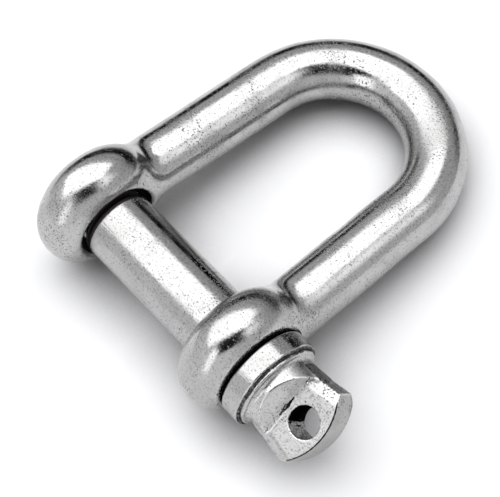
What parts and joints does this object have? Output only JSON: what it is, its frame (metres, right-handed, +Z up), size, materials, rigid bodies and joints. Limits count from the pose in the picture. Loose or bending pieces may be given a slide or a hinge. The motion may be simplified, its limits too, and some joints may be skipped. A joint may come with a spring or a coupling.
{
  "type": "d shackle",
  "caption": "Screw-pin D shackle: forged round-bar bow with rounded eyes, closed by a removable threaded pin with a collar and a drilled flat head.",
  "frame": {"origin": "middle of the underside of the whole shackle's box, on the surface that it lies on", "axes": "+X along the pin towards its head, +Y from the pin towards the crown, +Z up, with the shackle on its side"},
  "size_m": [0.07, 0.0794, 0.0254],
  "materials": {
    "forged_steel": "polished stainless steel, softly worn",
    "machined_steel": "turned stainless steel, softly worn"
  },
  "bodies": {
    "shackle": {"shackle_body": "forged_steel"},
    "pin_travel": {"pin_shank": "machined_steel", "pin_collar": "machined_steel"},
    "pin_turn": {"pin_head": "forged_steel", "pin_thread": "machined_steel"}
  },
  "joints": [
    {"name": "pin_withdraw", "type": "slide", "parent": "shackle", "child": "pin_travel", "axis": [1, 0, 0], "range_m": [0, 0.04605]},
    {"name": "pin_unscrew", "type": "hinge", "parent": "pin_travel", "child": "pin_turn", "pos_m": [-0.00877, -0.02697, 0.0127], "axis": [1, 0, 0], "range_deg": [0, 8280]}
  ],
  "couplings": [
    {"joint": "pin_withdraw", "follows": "pin_unscrew", "m_per_rad": 0.00031831}
  ]
}
